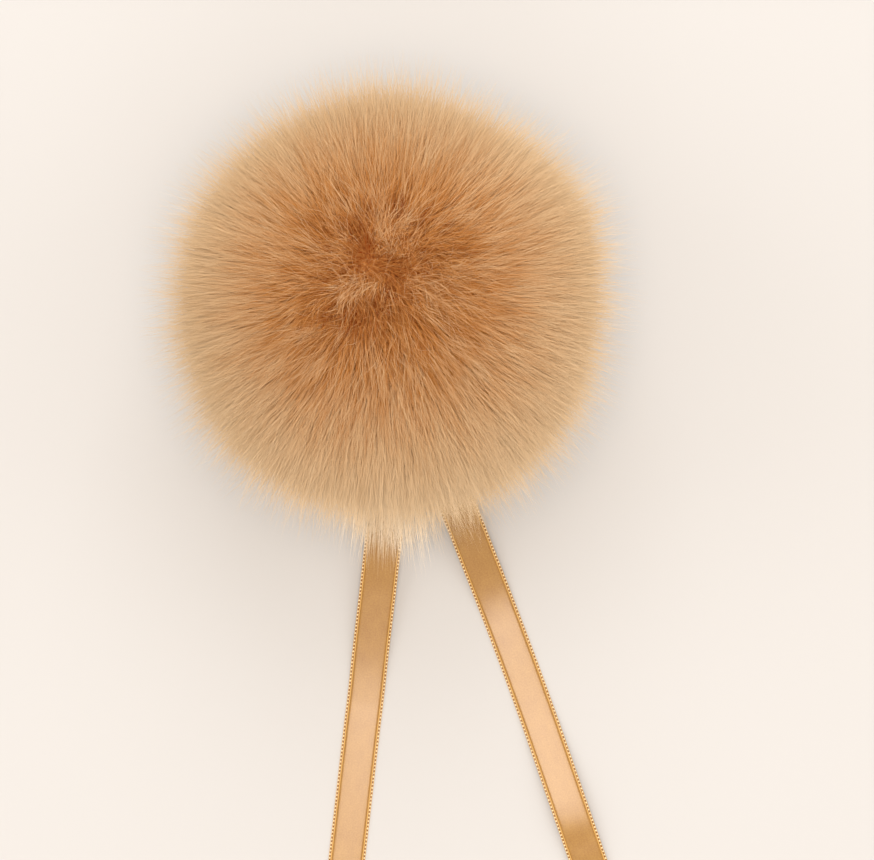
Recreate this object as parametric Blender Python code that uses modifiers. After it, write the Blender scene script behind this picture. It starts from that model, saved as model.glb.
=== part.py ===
"""A faux fur pom pom with two satin ribbon ties, lying on a flat surface.

The origin is on the surface, at the middle of the flat spot that the ball rests on.
+Z is up, and the ties run out from under the ball towards -Y.
"""

import math

import bmesh
import bpy
from mathutils import Vector

MM = 0.001

# Driving dimensions of the ball, whose solid is the outer form of the brushed pile.
PILE_RADIUS = 57.5 * MM
CENTRE_HEIGHT = 51.5 * MM
CROWN_RISE = 53.5 * MM
UNDERSIDE_DROP = 54.5 * MM
BALL_SEGMENTS = 60
BALL_RINGS = 34
PLAN_FADE = 1.5

# How far the pile stands out in plan, as a share of PILE_RADIUS, going round from +X.
PLAN_OUTLINE = (
    # degrees, share
    (0, 0.985),
    (30, 1.030),
    (60, 0.975),
    (90, 0.980),
    (120, 0.965),
    (150, 0.980),
    (180, 1.000),
    (210, 1.015),
    (240, 1.010),
    (270, 1.000),
    (300, 1.020),
    (330, 1.025),
)

# The pile's soft lumps are waves that run round the ball and twist from base to crown.
LUMP_HEIGHT = 0.45 * MM
LUMP_WAVES = (
    # waves_round, twist, start_rad
    (3, 4, 0.0),
    (5, -3, 1.0),
)

# Driving dimensions of the ties, which are cut from 10 mm double-faced satin ribbon.
RIBBON_WIDTH = 10.0 * MM
RIBBON_THICKNESS = 1.0 * MM
ROW_SPACING = 3.0 * MM
STRIPS_ACROSS = 4
FIT_GAP = 0.3 * MM
SLOT_REACH = 46.0 * MM

# Each tie from the gathered base of the ball to its cut end: the middle of the ribbon in plan,
# the height of its lower edge, and its roll, which is positive where the +X edge stands higher.
LEFT_TIE = (
    # x_mm, y_mm, lift_mm, roll_deg
    (4.0, -10.0, 5.6, 0.0),
    (1.7, -30.0, 5.6, 0.0),
    (-0.7, -50.0, 6.7, 0.0),
    (-2.2, -64.0, 5.5, 0.0),
    (-3.9, -79.0, 2.9, 0.0),
    (-5.8, -95.0, 0.9, 0.0),
    (-7.1, -107.0, 0.1, 0.0),
    (-8.5, -118.5, 0.0, 0.0),
    (-12.5, -153.3, 0.0, 0.0),
    (-15.8, -182.0, 0.0, 0.0),
)
RIGHT_TIE = (
    # x_mm, y_mm, lift_mm, roll_deg
    (1.0, -10.0, 7.4, 0.0),
    (8.8, -30.0, 7.4, 0.0),
    (16.5, -50.0, 6.8, 1.0),
    (22.1, -64.4, 3.9, 3.0),
    (28.2, -80.0, 0.8, 3.0),
    (34.3, -96.0, 0.0, 1.0),
    (41.0, -114.4, 0.3, 0.0),
    (49.4, -138.5, 2.0, 0.0),
    (53.4, -150.0, 1.1, 1.5),
    (57.6, -162.0, 0.0, 0.0),
    (61.1, -172.0, 0.0, 0.0),
    (64.4, -181.5, 0.0, 0.0),
)

SHARP_ANGLE = math.radians(15)
CUT_TOLERANCE = 0.00001 * MM

FUR_TAN = (0.60, 0.36, 0.17, 1.0)
SATIN_GOLD = (0.74, 0.46, 0.20, 1.0)


def clear_scene():
    for leftover in list(bpy.data.objects):
        bpy.data.objects.remove(leftover, do_unlink=True)


def new_collection(name):
    collection = bpy.data.collections.new(name)
    bpy.context.scene.collection.children.link(collection)
    return collection


def new_material(name, colour, roughness, sheen):
    """A Principled material for one kind of cloth."""
    material = bpy.data.materials.new(name)
    material.use_nodes = True
    surface = material.node_tree.nodes["Principled BSDF"]
    surface.inputs["Base Color"].default_value = colour
    surface.inputs["Metallic"].default_value = 0.0
    surface.inputs["Roughness"].default_value = roughness
    surface.inputs["Sheen Weight"].default_value = sheen
    material.diffuse_color = colour
    return material


def add_object(name, shape, collection, material):
    """Turns a bmesh into a named object with smooth faces and sharp cut edges."""
    mesh = bpy.data.meshes.new(name)
    shape.to_mesh(mesh)
    shape.free()
    mesh.shade_smooth()
    mesh.set_sharp_from_angle(angle=SHARP_ANGLE)
    mesh.materials.append(material)
    thing = bpy.data.objects.new(name, mesh)
    collection.objects.link(thing)
    return thing


def between(before, start, end, after, share):
    """A Catmull-Rom curve's value at this share of the way from start to end."""
    return 0.5 * (
        2 * start
        + (end - before) * share
        + (2 * before - 5 * start + 4 * end - after) * share**2
        + (3 * start - before - 3 * end + after) * share**3
    )


def outline_share(azimuth):
    """How far the pile stands out at this azimuth in radians, as a share of PILE_RADIUS."""
    rows = len(PLAN_OUTLINE)
    place = (math.degrees(azimuth) % 360) / 360 * rows
    first = int(place)
    shares = [PLAN_OUTLINE[(first + step) % rows][1] for step in (-1, 0, 1, 2)]
    return between(*shares, place - first)


def lump(azimuth, tilt):
    """The height of the pile's soft lumps, which fade out at the crown and the base."""
    waves = [
        math.sin(waves_round * azimuth + twist * tilt + start)
        for waves_round, twist, start in LUMP_WAVES
    ]
    return LUMP_HEIGHT * sum(waves) * math.cos(tilt)


def ball_point(direction):
    """The point of the pile's outer form that lies this way from the ball's centre."""
    azimuth = math.atan2(direction.y, direction.x)
    tilt = math.asin(max(-1.0, min(1.0, direction.z)))
    share = 1 + (outline_share(azimuth) - 1) * math.cos(tilt) ** PLAN_FADE
    reach = PILE_RADIUS * share + lump(azimuth, tilt)
    rise = CROWN_RISE if direction.z > 0 else UNDERSIDE_DROP
    height = CENTRE_HEIGHT + direction.z * rise
    return Vector((direction.x * reach, direction.y * reach, height))


def make_ball(collection, material):
    """The stuffed ball of fur, cut flat where it rests on the surface."""
    shape = bmesh.new()
    bmesh.ops.create_uvsphere(
        shape, u_segments=BALL_SEGMENTS, v_segments=BALL_RINGS, radius=1.0
    )
    for vertex in shape.verts:
        vertex.co = ball_point(vertex.co.normalized())
    cut = bmesh.ops.bisect_plane(
        shape,
        geom=shape.verts[:] + shape.edges[:] + shape.faces[:],
        dist=CUT_TOLERANCE,
        plane_co=(0, 0, 0),
        plane_no=(0, 0, -1),
        clear_outer=True,
    )
    rim = [edge for edge in cut["geom_cut"] if isinstance(edge, bmesh.types.BMEdge)]
    bmesh.ops.holes_fill(shape, edges=rim)
    bmesh.ops.recalc_face_normals(shape, faces=shape.faces)
    return add_object("fur_ball", shape, collection, material)


def tie_rows(stations):
    """Rows of (place, roll) along a tie, about evenly spaced on a smooth curve through its stations."""
    padded = [stations[0], *stations, stations[-1]]
    points = []
    for index in range(len(stations) - 1):
        four = padded[index : index + 4]
        length = math.dist(four[1][:2], four[2][:2]) * MM
        steps = max(1, round(length / ROW_SPACING))
        for step in range(steps):
            points.append([between(*column, step / steps) for column in zip(*four)])
    points.append(stations[-1])
    rows = []
    for x, y, lift, roll in points:
        turn = math.radians(roll)
        half_rise = RIBBON_WIDTH / 2 * abs(math.sin(turn))
        rows.append((Vector((x * MM, y * MM, max(lift, 0) * MM + half_rise)), turn))
    return rows


def make_tie(name, rows, width, thickness, underside, collection, material):
    """A strip of ribbon along the rows, with its lower face this far above or below them."""
    shape = bmesh.new()
    bmesh.ops.create_grid(
        shape, x_segments=STRIPS_ACROSS, y_segments=len(rows) - 1, size=0.5
    )
    last = len(rows) - 1
    for vertex in shape.verts:
        index = round((vertex.co.y + 0.5) * last)
        place, turn = rows[index]
        along = rows[min(index + 1, last)][0] - rows[max(index - 1, 0)][0]
        right = Vector((0, 0, 1)).cross(along).normalized()
        up = along.cross(right).normalized()
        tilted = right * math.cos(turn) + up * math.sin(turn)
        vertex.co = place + tilted * vertex.co.x * width + up * underside
    bmesh.ops.recalc_face_normals(shape, faces=shape.faces)
    if sum(face.normal.z for face in shape.faces) < 0:
        bmesh.ops.reverse_faces(shape, faces=shape.faces)
    tie = add_object(name, shape, collection, material)
    shell = tie.modifiers.new("cloth thickness", "SOLIDIFY")
    shell.thickness = thickness
    shell.offset = 1.0
    shell.use_even_offset = True
    return tie


def make_slot(name, rows, collection, material):
    """A cutter that leaves FIT_GAP all round the sewn-in end of a tie."""
    inside = [row for row in rows if math.hypot(row[0].x, row[0].y) < SLOT_REACH]
    first, turn = inside[0]
    inward = (first - inside[1][0]).normalized() * FIT_GAP
    inside[0] = (first + inward, turn)
    width = RIBBON_WIDTH + 2 * FIT_GAP
    thickness = RIBBON_THICKNESS + 2 * FIT_GAP
    slot = make_tie(name, inside, width, thickness, -FIT_GAP, collection, material)
    slot.hide_render = True
    slot.display_type = "WIRE"
    return slot


def main():
    clear_scene()
    parts = new_collection("pom_pom")
    cutters = new_collection("cutters")
    fur = new_material("faux_fur", FUR_TAN, 0.9, 0.5)
    satin = new_material("satin_ribbon", SATIN_GOLD, 0.35, 0.2)
    ball = make_ball(parts, fur)
    for side, stations in (("left", LEFT_TIE), ("right", RIGHT_TIE)):
        rows = tie_rows(stations)
        make_tie(f"ribbon_{side}", rows, RIBBON_WIDTH, RIBBON_THICKNESS, 0.0, parts, satin)
        cut = ball.modifiers.new(f"slot for the {side} tie", "BOOLEAN")
        cut.object = make_slot(f"slot_{side}", rows, cutters, satin)
        cut.operation = "DIFFERENCE"


main()
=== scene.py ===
# %% [markdown]
# # A faux fur pom pom with satin ribbon ties
#
# The real thing is a circle of long-haired fur fabric, gathered round a handful of stuffing and brushed
# out until the gather disappears. Two lengths of picot-edged satin ribbon are caught in the gather. Here
# it lies on a pale surface with the ties running out from under it. We build it on a fixed frame that
# gives every size: a plain solid for the ball, and a plain strip for each tie.

# %% Load the frame
import math

import bmesh
import bpy
import numpy as np
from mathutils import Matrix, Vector
from mathutils.bvhtree import BVHTree


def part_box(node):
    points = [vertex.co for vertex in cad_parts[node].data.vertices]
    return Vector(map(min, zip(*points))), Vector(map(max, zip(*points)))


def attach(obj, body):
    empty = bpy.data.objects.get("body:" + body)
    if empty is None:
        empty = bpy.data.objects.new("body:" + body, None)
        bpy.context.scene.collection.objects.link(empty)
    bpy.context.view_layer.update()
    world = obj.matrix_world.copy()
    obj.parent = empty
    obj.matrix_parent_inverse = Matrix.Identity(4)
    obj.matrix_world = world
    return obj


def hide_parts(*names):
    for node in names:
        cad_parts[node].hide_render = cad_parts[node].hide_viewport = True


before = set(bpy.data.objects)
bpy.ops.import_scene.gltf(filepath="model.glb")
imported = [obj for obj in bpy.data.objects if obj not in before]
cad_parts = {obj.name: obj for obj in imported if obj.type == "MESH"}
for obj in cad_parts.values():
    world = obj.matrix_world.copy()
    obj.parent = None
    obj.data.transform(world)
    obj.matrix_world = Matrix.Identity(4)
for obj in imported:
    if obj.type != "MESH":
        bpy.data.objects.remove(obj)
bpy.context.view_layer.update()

MM = 0.001
ball_low, ball_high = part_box("fur_ball")
print("nodes", sorted(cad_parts))
print("ball", [round((high - low) / MM, 1) for low, high in zip(ball_low, ball_high)], "mm")


# %% [markdown]
# ## Two small helpers
#
# Colours are easiest to choose as sRGB hex values, but shaders work in linear light, so one function
# converts them. Node trees for materials and for geometry are built the same way, so one function adds any
# node, sets its properties, and fills or links its inputs. A node given as an input stands for its first
# output.

# %% Colour and node helpers
def linear(hex_colour):
    """A Blender colour from an sRGB hex value such as C89B6A."""
    shares = [int(hex_colour[place : place + 2], 16) / 255 for place in (0, 2, 4)]
    light = [s / 12.92 if s <= 0.04045 else ((s + 0.055) / 1.055) ** 2.4 for s in shares]
    return (*light, 1.0)


def add(tree, kind, inputs=None, **settings):
    """Adds a node. Each input, by its name or number, is a value to set, or a node or socket to link."""
    node = tree.nodes.new(kind)
    for name, value in settings.items():
        setattr(node, name, value)
    for key, value in (inputs or {}).items():
        if isinstance(value, bpy.types.Node):
            value = value.outputs[0]
        if isinstance(value, bpy.types.NodeSocket):
            tree.links.new(value, node.inputs[key])
        else:
            node.inputs[key].default_value = value
    return node


# %% [markdown]
# ## The camera
#
# The photograph looks straight down from well above, so a long lens at about 90 cm keeps the ball from
# looking stretched. The lens is worked out from how much of the surface the picture is to show.

# %% Camera
CAMERA_HEIGHT = 900 * MM
CAMERA_OVER = (12.6 * MM, -33.8 * MM)
SURFACE_SHOWN = 243.0 * MM
SENSOR_WIDTH = 36.0

camera_data = bpy.data.cameras.new("camera")
camera_data.sensor_width = SENSOR_WIDTH
camera_data.lens = SENSOR_WIDTH * CAMERA_HEIGHT / SURFACE_SHOWN
camera_data.clip_start = 0.05
camera = bpy.data.objects.new("camera", camera_data)
camera.location = (*CAMERA_OVER, CAMERA_HEIGHT)
bpy.context.scene.collection.objects.link(camera)
bpy.context.scene.camera = camera
print("lens", round(camera_data.lens, 1), "mm")


# %% [markdown]
# ## The scalp
#
# Fur needs something to grow from. The frame's ball is the outer form of the brushed pile, so the backing
# lies some way inside it. We take the ball's outer form as a convex hull, which closes the slots that hold
# the ties, and look out from its centre in every direction to find how far the pile reaches. The scalp
# keeps that outer point on each of its vertices, so every hair can find its own place on the outer form.

# %% Scalp
CENTRE_HEIGHT = 51.5 * MM
BALL_CENTRE = Vector(((ball_low.x + ball_high.x) / 2, (ball_low.y + ball_high.y) / 2, CENTRE_HEIGHT))
ROOT_SHARE = 0.74  # how far out the roots are, as a share of the way to the outer form
SCALP_DETAIL = 5


def outer_form():
    """A search tree of the frame's ball, with its slots closed."""
    shape = bmesh.new()
    shape.from_mesh(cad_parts["fur_ball"].data)
    bmesh.ops.remove_doubles(shape, verts=shape.verts, dist=0.001 * MM)
    hull = bmesh.ops.convex_hull(shape, input=shape.verts)
    inside = {item for item in hull["geom_interior"] + hull["geom_unused"]}
    bmesh.ops.delete(shape, geom=[v for v in inside if isinstance(v, bmesh.types.BMVert)])
    tree = BVHTree.FromBMesh(shape)
    shape.free()
    return tree


def make_scalp():
    """A closed ball at the hairs' roots, which knows the outer point above each of its vertices."""
    form = outer_form()
    shape = bmesh.new()
    bmesh.ops.create_icosphere(shape, subdivisions=SCALP_DETAIL, radius=1.0)
    outer = []
    for vertex in shape.verts:
        direction = vertex.co.normalized()
        reached = form.ray_cast(BALL_CENTRE, direction)[0]
        outer.append(reached)
        vertex.co = BALL_CENTRE + (reached - BALL_CENTRE) * ROOT_SHARE
    mesh = bpy.data.meshes.new("fur_backing")
    shape.to_mesh(mesh)
    shape.free()
    mesh.shade_smooth()
    mesh.attributes.new("outer", "FLOAT_VECTOR", "POINT")
    mesh.attributes["outer"].data.foreach_set("vector", np.array(outer).ravel())
    scalp = bpy.data.objects.new("fur_backing", mesh)
    bpy.context.scene.collection.objects.link(scalp)
    return scalp


scalp = make_scalp()
scalp_area = sum(face.area for face in scalp.data.polygons)
print("scalp", len(scalp.data.polygons), "faces,", round(scalp_area / MM**2), "square mm")


# %% [markdown]
# ## The underlay
#
# Hairs never sink into what they lie on. This helper object, a patch of the surface and the two ties, is
# only there for each hair's tip to look down at, and is removed once the fur is made.

# %% Underlay
UNDERLAY_HALF = 150 * MM


def make_underlay():
    shape = bmesh.new()
    bmesh.ops.create_grid(shape, x_segments=1, y_segments=1, size=UNDERLAY_HALF)
    for name in ("ribbon_left", "ribbon_right"):
        shape.from_mesh(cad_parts[name].data)
    mesh = bpy.data.meshes.new("underlay")
    shape.to_mesh(mesh)
    shape.free()
    thing = bpy.data.objects.new("underlay", mesh)
    bpy.context.scene.collection.objects.link(thing)
    thing.hide_render = True
    return thing


underlay = make_underlay()


# %% [markdown]
# ## The fur material
#
# Faux fur is acrylic fibre, dyed in the piece and brushed out, so it lies like hair: soft and matt, with
# no hard glints. Each hair carries a small map. Across it is the hair's own tone, and along it is its
# height, which paints the pile's light and shade into the colour: deep orange brown, painted shade where
# the eye looks down between hairs, tan over most of the ball, and pale gold at the ends, partly painted
# light. One ramp turns both into colour, so the painted shade comes from the pile and looks alike from
# every side.

# %% Fur material
# The deep end of the ramp is painted shade of the pile's depth, and the pale end is partly painted light
# on the outermost hairs; the tan between is the fur's own colour.
FUR_COLOURS_AND_PAINTED_SHADE = (
    # place on the ramp, colour
    (0.00, "7C3200"),
    (0.24, "B97C3F"),
    (0.48, "D0AB80"),
    (0.65, "D5B58D"),
    (0.80, "E0C199"),
    (1.00, "FAE8CE"),
)
TONE_WEIGHT = 0.5
FUR_ROUGHNESS = 0.65
FUR_SHINE = 0.06


def make_fur_material():
    material = bpy.data.materials.new("acrylic_faux_fur")
    material.use_nodes = True
    tree = material.node_tree
    surface = tree.nodes["Principled BSDF"]
    hair_map = add(tree, "ShaderNodeUVMap", uv_map="OFBake")
    parts = add(tree, "ShaderNodeSeparateXYZ", {0: hair_map}).outputs
    toned = {0: parts["X"], 1: TONE_WEIGHT, 2: parts["Y"]}
    place = add(tree, "ShaderNodeMath", toned, operation="MULTIPLY_ADD")
    # The tone's middle is 0.5, so half of its weight comes off again.
    place = add(tree, "ShaderNodeMath", {0: place, 1: TONE_WEIGHT / 2}, operation="SUBTRACT")
    colour = add(tree, "ShaderNodeValToRGB", {0: place})
    ramp = colour.color_ramp.elements
    while len(ramp) < len(FUR_COLOURS_AND_PAINTED_SHADE):
        ramp.new(0.5)
    for stop, (share, tint) in zip(ramp, FUR_COLOURS_AND_PAINTED_SHADE):
        stop.position = share
        stop.color = linear(tint)
    tree.links.new(colour.outputs["Color"], surface.inputs["Base Color"])
    surface.inputs["Roughness"].default_value = FUR_ROUGHNESS
    surface.inputs["Specular IOR Level"].default_value = FUR_SHINE
    return material


fur_material = make_fur_material()


# %% [markdown]
# ## What can be set on the pile
#
# One geometry tree grows every layer of hair, and these are its inputs. Lengths are shares of the way from
# the ball's centre to its outer form, so 1.0 ends on the frame's own surface. Two things make brushed pile
# look real. It falls into locks, so each hair leans towards the nearest of a sparser set of points. And it
# has a parting on top, where the hairs spread in tufts and the eye looks down between them into a deeper
# colour, which is painted shade.

# %% Inputs of the fur tree
FUR_INPUTS = (
    # name, kind, default
    ("Underlay", "NodeSocketObject", None),
    ("Hairs per square metre", "NodeSocketFloat", 1.0),
    ("Grow towards", "NodeSocketVector", (0.0, 0.0, 1.0)),
    # These two are cosines between the scalp's outward direction and the one above: where the first hairs
    # grow, and where they reach their full number.
    ("Grow from", "NodeSocketFloat", -0.92),
    ("Grow full", "NodeSocketFloat", -0.25),
    # Reaches are cosines too: the parting's effects fade in from there to its middle.
    ("Parting", "NodeSocketVector", (-0.03, 0.13, 0.991)),
    ("Parting reach", "NodeSocketFloat", 0.79),
    ("Parting sway", "NodeSocketFloat", 0.6),
    ("Parting tufts", "NodeSocketFloat", 2.5),
    ("Parting lean", "NodeSocketVector", (1.2 * MM, -3.2 * MM, 0.0)),
    # The three shade inputs paint shade into the hairs' colour: deeper near the parting, and darker
    # towards each hair's root.
    ("Shade reach", "NodeSocketFloat", 0.15),
    ("Shade depth", "NodeSocketFloat", 0.48),
    ("Root shade", "NodeSocketFloat", 0.78),
    ("Shortest", "NodeSocketFloat", 0.9),
    ("Longest", "NodeSocketFloat", 1.0),
    ("Rarity", "NodeSocketFloat", 1.0),
    ("Girth", "NodeSocketFloat", 0.1 * MM),
    ("Fullness", "NodeSocketFloat", 0.6),
    ("Lock spacing", "NodeSocketFloat", 0.95 * MM),
    ("Lock pull", "NodeSocketFloat", 0.7),
    ("Lock sway", "NodeSocketFloat", 1.0 * MM),
    ("Hair sway", "NodeSocketFloat", 0.6 * MM),
    ("Broad sway", "NodeSocketFloat", 1.6 * MM),
    ("Broad size", "NodeSocketFloat", 5.0 * MM),
    ("Comb", "NodeSocketVector", (0.0, 0.0, 0.0)),
    ("Bend", "NodeSocketFloat", 1.8),
    ("Clearance", "NodeSocketFloat", 0.4 * MM),
    ("Tone spread", "NodeSocketFloat", 0.04),
    ("Lock tone spread", "NodeSocketFloat", 0.14),
    ("Patch tone spread", "NodeSocketFloat", 1.35),
    ("Patch size", "NodeSocketFloat", 2.8 * MM),
    ("Soft normals", "NodeSocketFloat", 0.75),
    ("Facing", "NodeSocketVector", (0.0, 0.0, 0.7)),
    ("Seed", "NodeSocketInt", 0),
    ("Material", "NodeSocketMaterial", None),
)
VECTORS = "ShaderNodeVectorMath"
NUMBERS = "ShaderNodeMath"
print("fur tree inputs", len(FUR_INPUTS))


# %% [markdown]
# ## Where the hairs grow
#
# Hairs are scattered at random, as in a knitted backing that has been brushed, and thinned out on the
# underside where they would only be crushed. The locks' points keep their distance from one another, and
# are the same in every layer, so the layers share their locks.

# %% Points for hairs and for locks
LOCK_PLACES_SEED = 7
LOCKS_PER_SQUARE_METRE = 4.0e6


def add_points(tree, given):
    """The points that hairs grow from, and the points in the middle of each lock."""
    normal = add(tree, "GeometryNodeInputNormal")
    turned = add(tree, VECTORS, {0: normal, 1: given["Grow towards"]}, operation="DOT_PRODUCT")
    growing = {
        "Value": turned.outputs["Value"],
        "From Min": given["Grow from"],
        "From Max": given["Grow full"],
    }
    thinned = add(tree, "ShaderNodeMapRange", growing)
    density = {0: given["Hairs per square metre"], 1: thinned}
    hairs = add(
        tree,
        "GeometryNodeDistributePointsOnFaces",
        {
            "Mesh": given["Scalp"],
            "Density": add(tree, NUMBERS, density, operation="MULTIPLY"),
            "Seed": given["Seed"],
        },
        distribute_method="RANDOM",
    )
    locks = add(
        tree,
        "GeometryNodeDistributePointsOnFaces",
        {
            "Mesh": given["Scalp"],
            "Distance Min": given["Lock spacing"],
            "Density Max": LOCKS_PER_SQUARE_METRE,
            "Seed": LOCK_PLACES_SEED,
        },
        distribute_method="POISSON",
    )
    return hairs, locks


# %% [markdown]
# ## Where each hair would end
#
# Left alone, a hair runs straight out along its spoke, from the ball's centre through its root. Its length
# is drawn at random between the layer's shortest and longest, and a rarity above one makes the long ones
# rare. The same cell works out how near the parting a hair is, and finds its lock.

# %% Spokes, lengths and locks
LOCK_SWAY_SEED = 11
LOCK_TONE_SEED = 13
CENTRE = tuple(BALL_CENTRE)


def add_spokes(tree, given, locks, seeds):
    """What each hair knows about itself, by name."""
    place = add(tree, "GeometryNodeInputPosition")
    outer = add(tree, "GeometryNodeInputNamedAttribute", {"Name": "outer"}, data_type="FLOAT_VECTOR")
    nearest = add(tree, "GeometryNodeSampleNearest", {"Geometry": locks, "Sample Position": place})
    swayed = {0: (-1, -1, -1), 1: (1, 1, 1), "Seed": LOCK_SWAY_SEED}
    toned = {2: -0.5, 3: 0.5, "Seed": LOCK_TONE_SEED}
    asked = {
        "lock_outer": (outer, "FLOAT_VECTOR"),
        "lock_sway": (
            add(tree, "FunctionNodeRandomValue", swayed, data_type="FLOAT_VECTOR"),
            "FLOAT_VECTOR",
        ),
        "lock_tone": (
            add(tree, "FunctionNodeRandomValue", toned, data_type="FLOAT").outputs[1],
            "FLOAT",
        ),
    }
    hair = {
        name: add(
            tree,
            "GeometryNodeSampleIndex",
            {"Geometry": locks, "Value": value, "Index": nearest},
            data_type=kind,
        )
        for name, (value, kind) in asked.items()
    }
    drawn = {2: 0.0, 3: 1.0, "Seed": seeds[0]}
    luck = add(tree, "FunctionNodeRandomValue", drawn, data_type="FLOAT").outputs[1]
    luck = add(tree, NUMBERS, {0: luck, 1: given["Rarity"]}, operation="POWER")
    growth = add(tree, NUMBERS, {0: given["Longest"], 1: given["Shortest"]}, operation="SUBTRACT")
    ranged = {0: luck, 1: growth, 2: given["Shortest"]}
    share = add(tree, NUMBERS, ranged, operation="MULTIPLY_ADD")
    for name, reached in (("tip", outer), ("lock_tip", hair["lock_outer"])):
        spoke = add(tree, VECTORS, {0: reached, 1: CENTRE}, operation="SUBTRACT")
        if name == "tip":
            hair["up"] = add(tree, VECTORS, {0: spoke}, operation="NORMALIZE")
        scaled = add(tree, VECTORS, {0: spoke, "Scale": share}, operation="SCALE")
        hair[name] = add(tree, VECTORS, {0: scaled, 1: CENTRE}, operation="ADD")
    towards = {0: hair["up"], 1: given["Parting"]}
    hair["to_parting"] = add(tree, VECTORS, towards, operation="DOT_PRODUCT").outputs["Value"]
    hair["near_parting"] = add(
        tree,
        "ShaderNodeMapRange",
        {"Value": hair["to_parting"], "From Min": given["Parting reach"]},
        interpolation_type="SMOOTHSTEP",
    )
    hair.update(place=place, share=share)
    return hair


def add_clouds(tree, place, size, detail):
    """Soft noise whose clouds are this size."""
    finer = add(tree, NUMBERS, {0: 1.0, 1: size}, operation="DIVIDE")
    scaled = add(tree, VECTORS, {0: place, "Scale": finer}, operation="SCALE")
    return add(tree, "ShaderNodeTexNoise", {"Vector": scaled, "Scale": 1.0, "Detail": detail})


# %% [markdown]
# ## How each hair leans
#
# A hair's tip is moved sideways by several things added up: its lock's sway and its own, broad waves in
# the pile, the parting, and the combing that lays the whole pile slightly downwards. The part of that sum
# along the spoke is taken out again, so leaning never makes a hair longer. Last, the hair is pulled
# towards its lock, and a ray straight down finds what lies under the tip, so no hair sinks into the
# surface or a tie.

# %% Leaning and resting
BROAD_SPREAD = 4.0
RAY_HEIGHT = 0.2


def add_lean(tree, given, hair, seeds):
    """How far each hair's tip is moved from the end of its spoke."""
    near = hair["near_parting"]
    drawn = {0: (-1, -1, -1), 1: (1, 1, 1), "Seed": seeds[1]}
    own_sway = add(tree, "FunctionNodeRandomValue", drawn, data_type="FLOAT_VECTOR")
    loosened = add(tree, NUMBERS, {0: near, 1: given["Parting sway"], 2: 1.0}, operation="MULTIPLY_ADD")
    tufted = add(tree, NUMBERS, {0: near, 1: given["Parting tufts"], 2: 1.0}, operation="MULTIPLY_ADD")
    waves = add_clouds(tree, hair["place"], given["Broad size"], 1.0).outputs["Color"]
    waves = add(tree, VECTORS, {0: waves, 1: (0.5, 0.5, 0.5)}, operation="SUBTRACT")
    spread = add(tree, NUMBERS, {0: given["Broad sway"], 1: BROAD_SPREAD}, operation="MULTIPLY")
    leaning = given["Comb"]
    for direction, amount, more in (
        (given["Parting lean"], near, 1.0),
        (waves, spread, tufted),
        (own_sway, given["Hair sway"], loosened),
        (hair["lock_sway"], given["Lock sway"], loosened),
    ):
        amount = add(tree, NUMBERS, {0: amount, 1: more}, operation="MULTIPLY")
        moved = add(tree, VECTORS, {0: direction, "Scale": amount}, operation="SCALE")
        leaning = add(tree, VECTORS, {0: moved, 1: leaning}, operation="ADD")
    outwards = add(tree, VECTORS, {0: leaning, 1: hair["up"]}, operation="DOT_PRODUCT")
    outwards = {0: hair["up"], "Scale": outwards.outputs["Value"]}
    outwards = add(tree, VECTORS, outwards, operation="SCALE")
    sideways = add(tree, VECTORS, {0: leaning, 1: outwards}, operation="SUBTRACT")
    to_lock = add(tree, VECTORS, {0: hair["lock_tip"], 1: hair["tip"]}, operation="SUBTRACT")
    pulled = add(tree, VECTORS, {0: to_lock, "Scale": given["Lock pull"]}, operation="SCALE")
    return add(tree, VECTORS, {0: sideways, 1: pulled}, operation="ADD")


def add_rest(tree, given, hair, sway):
    """The same movement, with each tip lifted clear of what lies beneath it."""
    reached = add(tree, VECTORS, {0: hair["tip"], 1: sway}, operation="ADD")
    above = {0: reached, 1: (1, 1, 0), 2: (0, 0, RAY_HEIGHT)}
    under = add(tree, "GeometryNodeObjectInfo", {"Object": given["Underlay"]})
    beneath = add(
        tree,
        "GeometryNodeRaycast",
        {
            "Target Geometry": under.outputs["Geometry"],
            "Source Position": add(tree, VECTORS, above, operation="MULTIPLY_ADD"),
            "Ray Direction": (0.0, 0.0, -1.0),
            "Ray Length": 1.0,
        },
    )
    tip = add(tree, "ShaderNodeSeparateXYZ", {0: reached}).outputs["Z"]
    ground = add(tree, "ShaderNodeSeparateXYZ", {0: beneath.outputs["Hit Position"]}).outputs["Z"]
    clear = add(tree, NUMBERS, {0: ground, 1: given["Clearance"]}, operation="ADD")
    lift = add(tree, NUMBERS, {0: clear, 1: tip}, operation="SUBTRACT")
    lift = add(tree, NUMBERS, {0: lift, 1: 0.0}, operation="MAXIMUM")
    lifted = add(tree, "ShaderNodeCombineXYZ", {"Z": lift})
    return add(tree, VECTORS, {0: sway, 1: lifted}, operation="ADD")


# %% [markdown]
# ## Each hair's tone and painted shade
#
# Two numbers set the colour. The tone differs from lock to lock, a little from hair to hair, and in
# patches a few millimetres across that are strongest at the parting. The height paints light and shade
# into the colour: a longer hair, which stands out into the light, is painted paler, and one near the
# parting is painted deeper, as shade where less light reaches down between upright hairs.

# %% Tone and height
# The shares of the way out at which hairs are painted palest and darkest, as light and shade.
PALE_SHARE = 1.28
DARK_SHARE = 0.20
PATCHES_ELSEWHERE = 0.7
LOWEST_HEIGHT = 0.05


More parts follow.
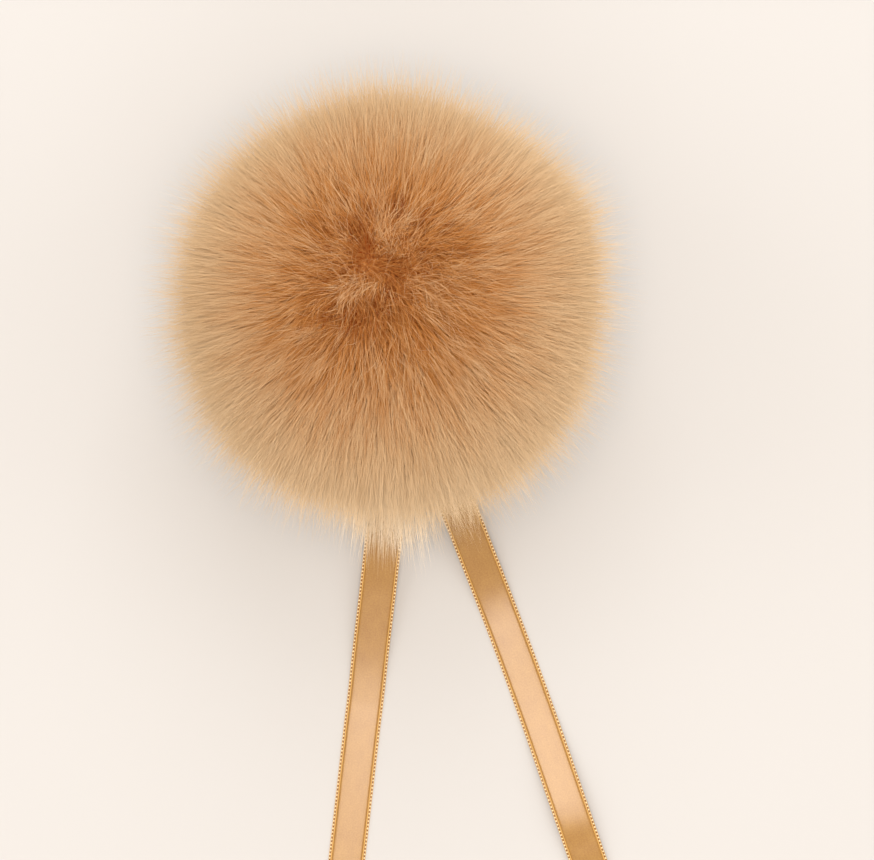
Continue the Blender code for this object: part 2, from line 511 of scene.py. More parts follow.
def add_tone(tree, given, hair, seeds):
    drawn = {2: -0.5, 3: 0.5, "Seed": seeds[2]}
    own_tone = add(tree, "FunctionNodeRandomValue", drawn, data_type="FLOAT").outputs[1]
    clouds = add_clouds(tree, hair["place"], given["Patch size"], 2.0).outputs["Fac"]
    patch = add(tree, NUMBERS, {0: clouds, 1: 0.5}, operation="SUBTRACT")
    patchy = add(tree, NUMBERS, {0: hair["near_parting"], 1: PATCHES_ELSEWHERE}, operation="ADD")
    patchy = add(tree, NUMBERS, {0: given["Patch tone spread"], 1: patchy}, operation="MULTIPLY")
    tone = 0.5
    for difference, spread in (
        (hair["lock_tone"], given["Lock tone spread"]),
        (own_tone, given["Tone spread"]),
        (patch, patchy),
    ):
        inputs = {0: difference, 1: spread, 2: tone}
        tone = add(tree, NUMBERS, inputs, operation="MULTIPLY_ADD")
    return tone


def add_height_with_painted_shade(tree, given, hair):
    reach = {"Value": hair["share"], "From Min": DARK_SHARE, "From Max": PALE_SHARE}
    height = add(tree, "ShaderNodeMapRange", reach)
    # Near the parting the height is lowered, which paints shade into the hairs' colour.
    fading = {"Value": hair["to_parting"], "From Min": given["Shade reach"]}
    shaded = add(tree, "ShaderNodeMapRange", fading)
    sunk = add(tree, NUMBERS, {0: shaded, 1: given["Shade depth"]}, operation="MULTIPLY")
    height = add(tree, NUMBERS, {0: height, 1: sunk}, operation="SUBTRACT")
    return add(tree, NUMBERS, {0: height, 1: LOWEST_HEIGHT}, operation="MAXIMUM")


# %% [markdown]
# ## From a ball to a strand
#
# A hair is the cheapest closed shape that can bend: a sphere with three sides and a single ring, whose
# poles become the root and the tip. That is six triangles. Every point gets one such sphere, and each
# sphere's vertices are then moved onto its hair, so the strands need no curves and no converting. The
# values worked out for a point ride along as attributes, so the sphere's vertices can still read them.

# %% Strands
NO_HAIR_RUNS_THIS_WAY = (0.36, 0.48, 0.8)


def add_strands(tree, given, points, kept, place):
    """A sphere on each point, drawn out to a strand. Returns it with the attributes it reads."""
    for name, (value, kind) in kept.items():
        inputs = {"Geometry": points, "Name": name, "Value": value}
        points = add(tree, "GeometryNodeStoreNamedAttribute", inputs, data_type=kind, domain="POINT")
    sphere = add(tree, "GeometryNodeMeshUVSphere", {"Segments": 3, "Rings": 2, "Radius": 1.0})
    inputs = {"Geometry": sphere.outputs["Mesh"], "Name": "ball_place", "Value": place}
    sphere = add(
        tree, "GeometryNodeStoreNamedAttribute", inputs, data_type="FLOAT_VECTOR", domain="POINT"
    )
    pile = add(tree, "GeometryNodeInstanceOnPoints", {"Points": points, "Instance": sphere})
    pile = add(tree, "GeometryNodeRealizeInstances", {"Geometry": pile})
    read = {
        name: add(tree, "GeometryNodeInputNamedAttribute", {"Name": name}, data_type=kind)
        for name, kind in [*((n, k) for n, (_, k) in kept.items()), ("ball_place", "FLOAT_VECTOR")]
    }
    ball = add(tree, "ShaderNodeSeparateXYZ", {0: read["ball_place"]}).outputs
    even = add(tree, NUMBERS, {0: ball["Z"], 1: 0.5, 2: 0.5}, operation="MULTIPLY_ADD")
    along = add(tree, NUMBERS, {0: even, 1: given["Fullness"]}, operation="POWER")
    bent = add(tree, NUMBERS, {0: along, 1: given["Bend"]}, operation="POWER")
    line = read["root"]
    for part, share in ((read["rise"], along), (read["sway"], bent)):
        moved = add(tree, VECTORS, {0: part, "Scale": share}, operation="SCALE")
        line = add(tree, VECTORS, {0: line, 1: moved}, operation="ADD")

    axis = add(tree, VECTORS, {0: read["rise"], 1: read["sway"]}, operation="ADD")
    axis = add(tree, VECTORS, {0: axis}, operation="NORMALIZE")
    side = add(tree, VECTORS, {0: axis, 1: NO_HAIR_RUNS_THIS_WAY}, operation="CROSS_PRODUCT")
    side = add(tree, VECTORS, {0: side}, operation="NORMALIZE")
    other = add(tree, VECTORS, {0: axis, 1: side}, operation="CROSS_PRODUCT")
    side = add(tree, VECTORS, {0: side, "Scale": ball["X"]}, operation="SCALE")
    other = add(tree, VECTORS, {0: other, "Scale": ball["Y"]}, operation="SCALE")
    round_it = add(tree, VECTORS, {0: side, 1: other}, operation="ADD")
    round_it = add(tree, VECTORS, {0: round_it}, operation="NORMALIZE")
    left = add(tree, NUMBERS, {0: 1.0, 1: even}, operation="SUBTRACT")
    swell = add(tree, NUMBERS, {0: even, 1: left}, operation="MULTIPLY")
    swell = add(tree, NUMBERS, {0: swell, 1: 4.0}, operation="MULTIPLY")
    width = add(tree, NUMBERS, {0: swell, 1: read["girth"]}, operation="MULTIPLY")
    round_it = add(tree, VECTORS, {0: round_it, "Scale": width}, operation="SCALE")
    drawn_out = add(tree, VECTORS, {0: line, 1: round_it}, operation="ADD")
    pile = add(tree, "GeometryNodeSetPosition", {"Geometry": pile, "Position": drawn_out})
    return pile, read, ball, along


# %% [markdown]
# ## The strand's colour map and its shading
#
# The tone and the height go into a map on the strand, which the material reads. The height rises only a
# little from root to tip, painting the roots in slight shade, because thin strands with dark roots and
# pale tips look like straw from a distance.
#
# Real fibres are finer than these and let light through, so pile is lit as one soft surface. Shaded by
# their own faces, our strands would look hard. So each strand's normal is mostly the ball's own outward
# direction, turned up a little towards the light that soaks down into the pile.

# %% Colour map and soft normals
MAP_EDGE = 0.02
SIDE_TONE = 0.015


def add_colour_map(tree, given, pile, read, ball, along):
    toned = {0: ball["Y"], 1: SIDE_TONE, 2: read["tone"]}
    across = add(tree, NUMBERS, toned, operation="MULTIPLY_ADD")
    across = add(tree, "ShaderNodeClamp", {"Value": across, "Min": MAP_EDGE, "Max": 1.0 - MAP_EDGE})
    # Root shade paints each hair darker towards its root, as the pile's depth shade.
    paling = add(tree, NUMBERS, {0: 1.0, 1: given["Root shade"]}, operation="SUBTRACT")
    paled = {0: along, 1: paling, 2: given["Root shade"]}
    paled = add(tree, NUMBERS, paled, operation="MULTIPLY_ADD")
    raised = add(tree, NUMBERS, {0: paled, 1: read["height"]}, operation="MULTIPLY")
    inset = {0: raised, 1: 1.0 - 2 * MAP_EDGE, 2: MAP_EDGE}
    flat = add(tree, NUMBERS, inset, operation="MULTIPLY_ADD")
    hair_map = add(tree, "ShaderNodeCombineXYZ", {"X": across, "Y": flat})
    inputs = {"Geometry": pile, "Name": "OFBake", "Value": hair_map}
    return add(
        tree, "GeometryNodeStoreNamedAttribute", inputs, data_type="FLOAT2", domain="CORNER"
    )


def add_soft_normals(tree, given, pile, root):
    outward = add(tree, VECTORS, {0: root, 1: CENTRE}, operation="SUBTRACT")
    outward = add(tree, VECTORS, {0: outward}, operation="NORMALIZE")
    outward = add(tree, VECTORS, {0: outward, 1: given["Facing"]}, operation="ADD")
    outward = add(tree, VECTORS, {0: outward}, operation="NORMALIZE")
    own = add(tree, "GeometryNodeInputNormal")
    own_share = add(tree, NUMBERS, {0: 1.0, 1: given["Soft normals"]}, operation="SUBTRACT")
    own = add(tree, VECTORS, {0: own, "Scale": own_share}, operation="SCALE")
    outward = add(tree, VECTORS, {0: outward, "Scale": given["Soft normals"]}, operation="SCALE")
    softened = add(tree, VECTORS, {0: own, 1: outward}, operation="ADD")
    softened = add(tree, VECTORS, {0: softened}, operation="NORMALIZE")
    pile = add(tree, "GeometryNodeSetShadeSmooth", {"Geometry": pile})
    return add(
        tree,
        "GeometryNodeSetMeshNormal",
        {"Mesh": pile, "Custom Normal": softened},
        mode="FREE",
        domain="POINT",
    )


# %% [markdown]
# ## The whole tree
#
# A tree that a modifier uses needs a geometry going in and one coming out. Everything else that is to be
# set from outside becomes a named input.

# %% Fur tree
GIRTH_SPREAD = (0.7, 1.3)


def new_tree(name, taken, inputs, made):
    """An empty modifier tree with these inputs, and the sockets that they give."""
    tree = bpy.data.node_groups.new(name, "GeometryNodeTree")
    tree.is_modifier = True
    tree.interface.new_socket(taken, in_out="INPUT", socket_type="NodeSocketGeometry")
    for label, kind, default in inputs:
        socket = tree.interface.new_socket(label, in_out="INPUT", socket_type=kind)
        if default is not None:
            socket.default_value = default
    tree.interface.new_socket(made, in_out="OUTPUT", socket_type="NodeSocketGeometry")
    return tree, add(tree, "NodeGroupInput").outputs


def make_fur_tree():
    tree, given = new_tree("brushed_pile", "Scalp", FUR_INPUTS, "Pile")
    seeds = [add(tree, NUMBERS, {0: given["Seed"], 1: step}, operation="ADD") for step in range(1, 5)]
    points, locks = add_points(tree, given)
    hair = add_spokes(tree, given, locks, seeds)
    sway = add_lean(tree, given, hair, seeds)
    sway = add_rest(tree, given, hair, sway)
    low, high = GIRTH_SPREAD
    drawn = {2: low, 3: high, "Seed": seeds[3]}
    girth = add(tree, "FunctionNodeRandomValue", drawn, data_type="FLOAT").outputs[1]
    girth = add(tree, NUMBERS, {0: given["Girth"], 1: girth}, operation="MULTIPLY")
    rise = add(tree, VECTORS, {0: hair["tip"], 1: hair["place"]}, operation="SUBTRACT")
    kept = {
        "root": (hair["place"], "FLOAT_VECTOR"),
        "rise": (rise, "FLOAT_VECTOR"),
        "sway": (sway, "FLOAT_VECTOR"),
        "tone": (add_tone(tree, given, hair, seeds), "FLOAT"),
        "girth": (girth, "FLOAT"),
        "height": (add_height_with_painted_shade(tree, given, hair), "FLOAT"),
    }
    pile, read, ball, along = add_strands(tree, given, points, kept, hair["place"])
    pile = add_colour_map(tree, given, pile, read, ball, along)
    pile = add_soft_normals(tree, given, pile, read["root"])
    pile = add(tree, "GeometryNodeSetMaterial", {"Geometry": pile, "Material": given["Material"]})
    add(tree, "NodeGroupOutput", {0: pile})
    return tree


fur_tree = make_fur_tree()
print("fur tree", len(fur_tree.nodes), "nodes")


# %% [markdown]
# ## Growing the layers
#
# The pile is made in layers, each a piece of its own. A short dense layer hides the backing, two longer
# ones give the ball its surface, and two of fine hairs make the soft haze round it. Then come two small
# patches: a fringe at the front, over the start of the ties, and a pale tuft that lies on the left tie.

# %% Layers of hair
COMB = (0.3 * MM, -1.5 * MM, -9.0 * MM)
LEANING_LIGHT = (0.04, -0.10)  # the light comes from straight above but for this
# Where a layer grows: towards what, from and fully at which cosine, and how far its shading is turned up.
ALL_OVER = ((0.0, 0.0, 1.0), -0.92, -0.25, 0.7)
FRONT = ((0.03, -0.80, -0.60), 0.82, 0.95, 1.0)
OVER_LEFT_TIE = ((-0.045, -0.80, -0.60), 0.988, 0.998, 2.0)
HELD_ON_HAIRS = ("root", "rise", "sway", "tone", "girth", "height", "ball_place", "outer")
HAIRS_THINNED = 0.79  # the share of an all-over layer that is left after the underside is thinned
LAYERS = (
    # name, hairs, growing, shortest, longest, rarity, girth_mm, lock_pull, hair_sway_mm, seed
    ("pile_inner", 24000, ALL_OVER, 0.84, 0.97, 1.0, 0.100, 0.50, 1.4, 100),
    ("pile_middle", 31000, ALL_OVER, 0.85, 0.985, 1.0, 0.080, 0.50, 1.5, 200),
    ("pile_upper", 31000, ALL_OVER, 0.87, 1.03, 1.3, 0.062, 0.20, 2.4, 300),
    ("pile_outer", 31500, ALL_OVER, 0.89, 1.09, 1.3, 0.039, 0.05, 3.2, 400),
    ("pile_wisps", 31500, ALL_OVER, 0.93, 1.19, 1.35, 0.025, 0.0, 6.0, 500),
    ("pile_fringe", 7500, FRONT, 0.98, 1.30, 1.5, 0.030, 0.0, 4.0, 600),
    ("pile_tuft", 300000, OVER_LEFT_TIE, 1.22, 1.54, 1.0, 0.048, 0.05, 2.2, 700),
)


def as_plain_mesh(thing, name):
    """A new object that holds what the modifiers on this one make."""
    evaluated = thing.evaluated_get(bpy.context.evaluated_depsgraph_get())
    mesh = bpy.data.meshes.new_from_object(evaluated)
    mesh.name = name
    made = bpy.data.objects.new(name, mesh)
    bpy.context.scene.collection.objects.link(made)
    return made


def set_inputs(modifier, values):
    """Sets a Geometry Nodes modifier's inputs, given by their names."""
    for item in modifier.node_group.interface.items_tree:
        if item.item_type == "SOCKET" and item.in_out == "INPUT" and item.name in values:
            modifier[item.identifier] = values[item.name]


def grow(
    name, hairs, growing, shortest, longest, rarity, girth_mm, lock_pull, hair_sway_mm, seed
):
    """One layer of hair, as a plain mesh without the attributes that only shaped it."""
    towards, grow_from, grow_full, turned_up = growing
    modifier = scalp.modifiers.new("pile", "NODES")
    modifier.node_group = fur_tree
    set_inputs(
        modifier,
        {
            "Underlay": underlay,
            "Hairs per square metre": hairs / HAIRS_THINNED / scalp_area,
            "Grow towards": towards,
            "Grow from": grow_from,
            "Grow full": grow_full,
            "Facing": (*LEANING_LIGHT, turned_up),
            "Shortest": shortest,
            "Longest": longest,
            "Rarity": rarity,
            "Girth": girth_mm * MM,
            "Lock pull": lock_pull,
            "Hair sway": hair_sway_mm * MM,
            "Comb": COMB,
            "Seed": seed,
            "Material": fur_material,
        },
    )
    layer = as_plain_mesh(scalp, name)
    scalp.modifiers.remove(modifier)
    for held in HELD_ON_HAIRS:
        if held in layer.data.attributes:
            layer.data.attributes.remove(layer.data.attributes[held])
    print(name, sum(len(face.vertices) - 2 for face in layer.data.polygons), "triangles")
    return layer


layers = [grow(*row) for row in LAYERS]
bpy.data.objects.remove(underlay)


# %% [markdown]
# ## The backing
#
# Between the locks the eye looks down to the shaded roots. The scalp itself is that depth: a warm brown
# with darker and lighter patches a millimetre or two across.

# %% Backing material
BACKING_COLOURS = ((0.35, "8C4D16"), (0.65, "B97A38"))
BACKING_PATCH = 1.5 * MM


def make_backing_material():
    material = bpy.data.materials.new("shaded_pile_roots")
    material.use_nodes = True
    tree = material.node_tree
    surface = tree.nodes["Principled BSDF"]
    spot = add(tree, "ShaderNodeTexCoord")
    clouds = {"Vector": spot.outputs["Object"], "Scale": 1 / BACKING_PATCH, "Detail": 3.0}
    patches = add(tree, "ShaderNodeTexNoise", clouds)
    blend = add(tree, "ShaderNodeValToRGB", {0: patches.outputs["Fac"]})
    for stop, (share, colour) in zip(blend.color_ramp.elements, BACKING_COLOURS):
        stop.position = share
        stop.color = linear(colour)
    tree.links.new(blend.outputs["Color"], surface.inputs["Base Color"])
    surface.inputs["Roughness"].default_value = 0.9
    return material


scalp.data.materials.append(make_backing_material())


# %% [markdown]
# ## The ties' path
#
# Each tie is a 10 mm satin ribbon. It comes out from under the ball at the height of the gather, slopes
# down to the surface and runs on with a slight wave. The stations are the frame's own, and a smooth curve
# joins them.

# %% Path of each tie
LEFT_TIE = (
    # x_mm, y_mm, lift_mm, roll_deg
    (4.0, -10.0, 5.6, 0.0),
    (1.7, -30.0, 5.6, 0.0),
    (-0.7, -50.0, 6.7, 0.0),
    (-2.2, -64.0, 5.5, 0.0),
    (-3.9, -79.0, 2.9, 0.0),
    (-5.8, -95.0, 0.9, 0.0),
    (-7.1, -107.0, 0.1, 0.0),
    (-8.5, -118.5, 0.0, 0.0),
    (-12.5, -153.3, 0.0, 0.0),
    (-15.8, -182.0, 0.0, 0.0),
)
RIGHT_TIE = (
    # x_mm, y_mm, lift_mm, roll_deg
    (1.0, -10.0, 7.4, 0.0),
    (8.8, -30.0, 7.4, 0.0),
    (16.5, -50.0, 6.8, 1.0),
    (22.1, -64.4, 3.4, 2.0),
    (28.2, -80.0, 0.4, 1.0),
    (34.3, -96.0, 0.0, 0.0),
    (41.0, -114.4, 0.3, 0.0),
    (49.4, -138.5, 2.0, 0.0),
    (53.4, -150.0, 1.1, 1.5),
    (57.6, -162.0, 0.0, 0.0),
    (61.1, -172.0, 0.0, 0.0),
    (64.4, -181.5, 0.0, 0.0),
)
ROW_SPACING = 1.0 * MM
RIBBON_WIDTH = 10.0 * MM


def between(before, start, end, after, share):
    """A Catmull-Rom curve's value at this share of the way from start to end."""
    return 0.5 * (
        2 * start
        + (end - before) * share
        + (2 * before - 5 * start + 4 * end - after) * share**2
        + (3 * start - before - 3 * end + after) * share**3
    )


def tie_rows(stations):
    """Rows of (place, rightward, upward) along a tie, about ROW_SPACING apart."""
    padded = [stations[0], *stations, stations[-1]]
    points = []
    for index in range(len(stations) - 1):
        four = padded[index : index + 4]
        steps = max(1, round(math.dist(four[1][:2], four[2][:2]) * MM / ROW_SPACING))
        for step in range(steps):
            points.append([between(*column, step / steps) for column in zip(*four)])
    points.append(stations[-1])
    places = []
    for x, y, lift, roll in points:
        rise = RIBBON_WIDTH / 2 * abs(math.sin(math.radians(roll)))
        places.append(Vector((x * MM, y * MM, max(lift, 0.0) * MM + rise)))
    rows = []
    for index, place in enumerate(places):
        along = places[min(index + 1, len(places) - 1)] - places[max(index - 1, 0)]
        right = Vector((0, 0, 1)).cross(along).normalized()
        up = along.cross(right).normalized()
        turn = math.radians(points[index][3])
        tilted = right * math.cos(turn) + up * math.sin(turn)
        rows.append((place, tilted, along.cross(tilted).normalized()))
    return rows


tie_paths = {"left": tie_rows(LEFT_TIE), "right": tie_rows(RIGHT_TIE)}
tie_lengths = {
    side: sum((b[0] - a[0]).length for a, b in zip(rows, rows[1:]))
    for side, rows in tie_paths.items()
}
print("ties", {side: round(length / MM, 1) for side, length in tie_lengths.items()}, "mm long")


# %% [markdown]
# ## Sweeping the ribbon
#
# A woven ribbon has the same section all along, so we draw the section once and sweep it down the path.
# The satin is a third of a millimetre thick. It dips to a groove beside each selvedge. A round cord runs
# along the groove, and a finer thread joins the outer ends of the edge's loops.

# %% Sections of satin and cords
SATIN_SECTION = (
    # x_mm, z_mm of the right half, from the middle of the underside round to the middle of the face
    (0.0, 0.04),
    (1.5, 0.04),
    (3.0, 0.03),
    (3.9, 0.02),
    (4.93, 0.02),
    (4.96, 0.06),
    (4.92, 0.10),
    (4.60, 0.12),
    (4.34, 0.14),
    (4.18, 0.21),
    (4.02, 0.29),
    (3.6, 0.33),
    (2.4, 0.36),
    (1.2, 0.38),
)
CORDS = (
    # out_mm, height_mm, radius_mm, sides
    (4.34, 0.28, 0.18, 8),
    (4.97, 0.24, 0.08, 5),
)


def mirrored(half):
    """The whole section from its right half, going round anticlockwise as seen from the tie's end."""
    top = (0.0, half[-1][1] + 0.005)
    return [*half, top, *[(-x, z) for x, z in reversed(half) if x > 0]]


def circle(centre_x, centre_z, radius, sides):
    turns = [2 * math.pi * step / sides for step in range(sides)]
    return [(centre_x + radius * math.cos(t), centre_z + radius * math.sin(t)) for t in turns]


print("satin section", 2 * max(x for x, _ in SATIN_SECTION), "mm wide")


# %% [markdown]
# A sweep is a ring of vertices on every row of the path, faces between the rings, and a cap on each end. A
# map of millimetres across and along the cloth goes with it, because the weave follows the ribbon.

# %% Sweep along a tie
def sweep(name, rows, section):
    """A closed solid with this section, in mm, along the rows, and its map in mm."""
    shape = bmesh.new()
    cloth_map = shape.loops.layers.uv.new("cloth_mm")
    run = [0.0]
    for before, after in zip(rows, rows[1:]):
        run.append(run[-1] + (after[0] - before[0]).length / MM)
    rings = [
        [shape.verts.new(place + right * x * MM + up * z * MM) for x, z in section]
        for place, right, up in rows
    ]
    count = len(section)
    for index in range(len(rows) - 1):
        for side in range(count):
            after = (side + 1) % count
            corners = (
                (rings[index][side], section[side][0], run[index]),
                (rings[index][after], section[after][0], run[index]),
                (rings[index + 1][after], section[after][0], run[index + 1]),
                (rings[index + 1][side], section[side][0], run[index + 1]),
            )
            face = shape.faces.new([corner[0] for corner in corners])
            for loop, (_, across, along) in zip(face.loops, corners):
                loop[cloth_map].uv = (across, along)
    for ring, at in ((rings[0], run[0]), (rings[-1], run[-1])):
        face = shape.faces.new(ring)
        for loop, (across, _) in zip(face.loops, section):
            loop[cloth_map].uv = (across, at)
    bmesh.ops.recalc_face_normals(shape, faces=shape.faces)
    mesh = bpy.data.meshes.new(name)
    shape.to_mesh(mesh)
    shape.free()
    mesh.shade_smooth()
    mesh.set_sharp_from_angle(angle=math.radians(50))
    swept = bpy.data.objects.new(name, mesh)
    bpy.context.scene.collection.objects.link(swept)
    return swept


# %% Satin and cords
def joined(name, things):
    """One object from several."""
    shape = bmesh.new()
    for thing in things:
        shape.from_mesh(thing.data)
        bpy.data.objects.remove(thing)
    mesh = bpy.data.meshes.new(name)
    shape.to_mesh(mesh)
    shape.free()
    whole = bpy.data.objects.new(name, mesh)
    bpy.context.scene.collection.objects.link(whole)
    return whole


satin, cords = {}, {}
for side, rows in tie_paths.items():
    satin[side] = sweep(f"satin_{side}", rows, mirrored(SATIN_SECTION))
    cords[side] = joined(
        f"cords_{side}",
        [
            sweep(f"cord_{edge * out}", rows, circle(edge * out, height, radius, sides))
            for out, height, radius, sides in CORDS
            for edge in (-1, 1)
        ],
    )
    print(side, "satin", len(satin[side].data.polygons), "faces")


# %% [markdown]
# ## The picots
#
# The edge of the ribbon is a row of tiny loops, about one to a millimetre, where the weft turns back. From
# above each loop reads as a pale bead with a dark gap after it. A second geometry tree places them: it
# takes the selvedge as a line, steps along it by the pitch, and puts a small ball at every step.

# %% Picot tree
PICOT_INPUTS = (
    # name, kind, default
    ("Pitch", "NodeSocketFloat", 1.03 * MM),
    ("Bead", "NodeSocketVector", (0.29 * MM, 0.20 * MM, 0.28 * MM)),
    ("Seed", "NodeSocketInt", 3),
    ("Material", "NodeSocketMaterial", None),
)
BEAD_SPREAD = 0.1


def make_picot_tree():
    tree, given = new_tree("picot_edge", "Selvedge", PICOT_INPUTS, "Picots")
    line = add(tree, "GeometryNodeMeshToCurve", {"Mesh": given["Selvedge"]})
    spaced = {"Curve": line, "Length": given["Pitch"]}
    steps = add(tree, "GeometryNodeCurveToPoints", spaced, mode="LENGTH").outputs
    bead = add(tree, "GeometryNodeMeshUVSphere", {"Segments": 6, "Rings": 4, "Radius": 1.0})
    less, more = (
        add(tree, VECTORS, {0: given["Bead"], "Scale": share}, operation="SCALE")
        for share in (1.0 - BEAD_SPREAD, 1.0 + BEAD_SPREAD)
    )
    sized = {0: less, 1: more, "Seed": given["Seed"]}
    beads = add(
        tree,
        "GeometryNodeInstanceOnPoints",
        {
            "Points": steps["Points"],
            "Instance": bead,
            "Rotation": steps["Rotation"],
            "Scale": add(tree, "FunctionNodeRandomValue", sized, data_type="FLOAT_VECTOR"),
        },
    )
    beads = add(tree, "GeometryNodeRealizeInstances", {"Geometry": beads})
    beads = add(tree, "GeometryNodeSetShadeSmooth", {"Geometry": beads})
    beads = add(tree, "GeometryNodeSetMaterial", {"Geometry": beads, "Material": given["Material"]})
    add(tree, "NodeGroupOutput", {0: beads})
    return tree


picot_tree = make_picot_tree()
print("picot tree", len(picot_tree.nodes), "nodes")


# %% [markdown]
# ## The satin material
#
# Satin is polyester filament in a weave that floats the warp over the face, so it shines along its length
# and has no visible grid. Its base is a warm gold. Soft mottling a few millimetres across, a faint speckle
# and very fine lines along the warp keep it from looking like plastic. Real filaments are far too fine to
# show, so the lines are drawn about seven to a millimetre. The strip under the picots is painted darker,
# as painted shade where light doesn't reach between the loops.

# %% Satin material
SATIN_DEEP, SATIN_PALE = "835312", "A87D38"
# painted shade: the colour of the strip under the picots, where light doesn't reach between the loops
PAINTED_SHADE_UNDER_PICOTS = "8E5E2A"
PATTERNS = (
    # name, cells per mm across, cells per mm along, detail, weight
    ("mottle", 0.30, 0.22, 1.0, 0.25),
    ("speckle", 2.2, 2.2, 2.0, 0.55),
    ("warp", 7.0, 0.3, 1.0, 0.20),
)
DEEP_UP_TO = 0.40
PICOT_STRIP_MM = (4.15, 4.3)


def make_satin_material():
    material = bpy.data.materials.new("polyester_satin")
    material.use_nodes = True
    tree = material.node_tree
    surface = tree.nodes["Principled BSDF"]
    cloth = add(tree, "ShaderNodeUVMap", uv_map="cloth_mm")
    across = add(tree, "ShaderNodeSeparateXYZ", {0: cloth}).outputs["X"]
    out = add(tree, NUMBERS, {0: across}, operation="ABSOLUTE")
    shade = 0.25
    for _, per_mm_across, per_mm_along, detail, weight in PATTERNS:
        scaled = {0: cloth, 1: (per_mm_across, per_mm_along, 1.0)}
        stretched = add(tree, VECTORS, scaled, operation="MULTIPLY")
        cells = {"Vector": stretched, "Scale": 1.0, "Detail": detail}
        pattern = add(tree, "ShaderNodeTexNoise", cells).outputs["Fac"]
        shade = add(tree, NUMBERS, {0: pattern, 1: weight, 2: shade}, operation="MULTIPLY_ADD")
    colour = add(tree, "ShaderNodeValToRGB", {0: shade})
    for stop, share, tint in zip(
        colour.color_ramp.elements, (DEEP_UP_TO, 1.0), (SATIN_DEEP, SATIN_PALE)
    ):
        stop.position = share
        stop.color = linear(tint)
    # The strip under the picots takes the painted shade colour.
    strip = {"Value": out, "From Min": PICOT_STRIP_MM[0], "From Max": PICOT_STRIP_MM[1]}
    edge = add(tree, "ShaderNodeMapRange", strip)
    blend = {"Factor": edge, "A": colour, "B": linear(PAINTED_SHADE_UNDER_PICOTS)}
    shown = add(tree, "ShaderNodeMix", blend, data_type="RGBA")
    tree.links.new(shown.outputs["Result"], surface.inputs["Base Color"])
    raised = {"Height": shade, "Strength": 0.15, "Distance": 0.1 * MM}
    bumps = add(tree, "ShaderNodeBump", raised)
    tree.links.new(bumps.outputs[0], surface.inputs["Normal"])
    surface.inputs["Roughness"].default_value = 0.3
    surface.inputs["Specular IOR Level"].default_value = 0.62
    return material


satin_material = make_satin_material()


# %% [markdown]
# ## The threads of the edge
#
# Cord and picots are plied polyester thread, duller than the satin. The picots are painted paler, as
# painted light for the light that goes through their open loops. With both rows placed, the ties are
# complete.

# %% Thread materials and picots
CORD_THREAD = "C8994F"
# painted light: the picot thread is made paler for the light that passes through its open loops
PICOT_THREAD_AND_PAINTED_LIGHT = "EACD9A"
PICOT_OUT = 4.77
PICOT_HEIGHT = 0.27


def make_thread_material(name, colour):
    material = bpy.data.materials.new(name)
    material.use_nodes = True
    surface = material.node_tree.nodes["Principled BSDF"]
    surface.inputs["Base Color"].default_value = linear(colour)
    surface.inputs["Roughness"].default_value = 0.4
    return material


cord_material = make_thread_material("polyester_cord_thread", CORD_THREAD)
picot_material = make_thread_material("polyester_picot_thread", PICOT_THREAD_AND_PAINTED_LIGHT)


def make_picots(side, rows):
    """Both rows of picots of one tie, as a plain mesh."""
    shape = bmesh.new()
    for out in (-PICOT_OUT, PICOT_OUT):
        line = [
            shape.verts.new(place + right * out * MM + up * PICOT_HEIGHT * MM)
            for place, right, up in rows
        ]
        for before, after in zip(line, line[1:]):
            shape.edges.new((before, after))
    mesh = bpy.data.meshes.new("selvedges")
    shape.to_mesh(mesh)
    shape.free()
    selvedges = bpy.data.objects.new("selvedges", mesh)
    bpy.context.scene.collection.objects.link(selvedges)
    modifier = selvedges.modifiers.new("picots", "NODES")
    modifier.node_group = picot_tree
    set_inputs(modifier, {"Material": picot_material})
    picots = as_plain_mesh(selvedges, f"picots_{side}")
    bpy.data.objects.remove(selvedges)
    print(picots.name, len(picots.data.polygons), "faces")
    return picots


picots = {side: make_picots(side, rows) for side, rows in tie_paths.items()}
for side in tie_paths:
    satin[side].data.materials.append(satin_material)
    cords[side].data.materials.append(cord_material)


# %% [markdown]
# ## The stage
#
# A plain warm-white board, which lies a hair's breadth below the ties so that the two never share a plane.

# %% Floor
FLOOR_HALF = 1.5
FLOOR_DROP = 0.05 * MM


def make_floor():
    shape = bmesh.new()
    bmesh.ops.create_grid(shape, x_segments=1, y_segments=1, size=FLOOR_HALF)
    for vertex in shape.verts:
        vertex.co.z = -FLOOR_DROP
    mesh = bpy.data.meshes.new("floor")
    shape.to_mesh(mesh)
    shape.free()
    floor = bpy.data.objects.new("floor", mesh)
    bpy.context.scene.collection.objects.link(floor)
    material = bpy.data.materials.new("matt_white_board")
    material.use_nodes = True
    surface = material.node_tree.nodes["Principled BSDF"]
    surface.inputs["Base Color"].default_value = linear("C2BFBB")
    surface.inputs["Roughness"].default_value = 0.9
    surface.inputs["Specular IOR Level"].default_value = 0.1
    mesh.materials.append(material)
    return floor


make_floor()


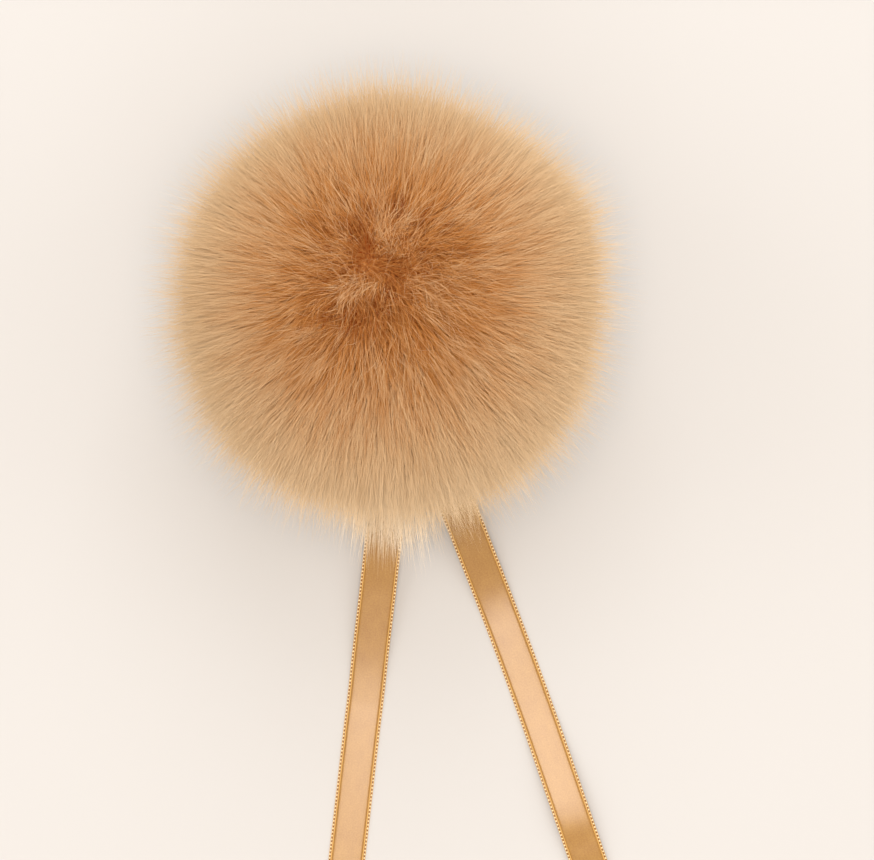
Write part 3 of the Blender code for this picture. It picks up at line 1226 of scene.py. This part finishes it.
# %% [markdown]
# ## The light
#
# Soft light from all round keeps the shadows faint. A lamp overhead is the strongest, and is the one that
# still reaches the board close to the ball, so it sets how warm the shadow looks. A cooler one behind the
# ball lights the far side of the pile and the satin, and three weak ones fill in from the other sides.

# %% Lights and room
SOFTBOXES = (
    # name, place, size, power, colour
    ("window", (0.05, 0.95, 0.95), 0.9, 7.2, "F2F8FF"),
    ("overhead", (0.0, -0.08, 1.5), 0.60, 14.4, "FFEDDC"),
    ("left", (-1.15, 0.15, 0.75), 0.9, 4.2, "F2F8FF"),
    ("right", (1.15, 0.15, 0.75), 0.9, 3.4, "F2F8FF"),
    ("front", (0.05, -1.15, 0.85), 0.9, 3.0, "F2F8FF"),
)
ROOM_COLOUR = "F8F6F4"
ROOM_STRENGTH = 0.8


def add_softbox(name, place, size, power, colour, aim=(0.0, -0.03, 0.0)):
    """A square soft light that faces the point it is aimed at."""
    light = bpy.data.lights.new(name, "AREA")
    light.shape = "SQUARE"
    light.size = size
    light.energy = power
    light.color = linear(colour)[:3]
    lamp = bpy.data.objects.new(name, light)
    lamp.location = place
    lamp.rotation_euler = (Vector(aim) - Vector(place)).to_track_quat("-Z", "Y").to_euler()
    bpy.context.scene.collection.objects.link(lamp)
    return lamp


for row in SOFTBOXES:
    add_softbox(*row)
world = bpy.data.worlds.new("room")
world.use_nodes = True
world.node_tree.nodes["Background"].inputs["Color"].default_value = linear(ROOM_COLOUR)
world.node_tree.nodes["Background"].inputs["Strength"].default_value = ROOM_STRENGTH
bpy.context.scene.world = world
bpy.context.scene.view_settings.view_transform = "Standard"
print("lamps", len(SOFTBOXES), "of", sum(row[3] for row in SOFTBOXES), "watts in all")


# %% [markdown]
# ## Riding on the body
#
# Every piece rides on the one body, and the frame's solid that it is shown in place of is hidden. Each
# satin has its cords and picots sewn on.

# %% Ride on the body, and hide the frame's solids
for piece in [scalp, *layers]:
    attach(piece, "root")
    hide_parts("fur_ball")
for side, length in tie_lengths.items():
    for piece in (satin[side], cords[side], picots[side]):
        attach(piece, "root")
        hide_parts(f"ribbon_{side}")
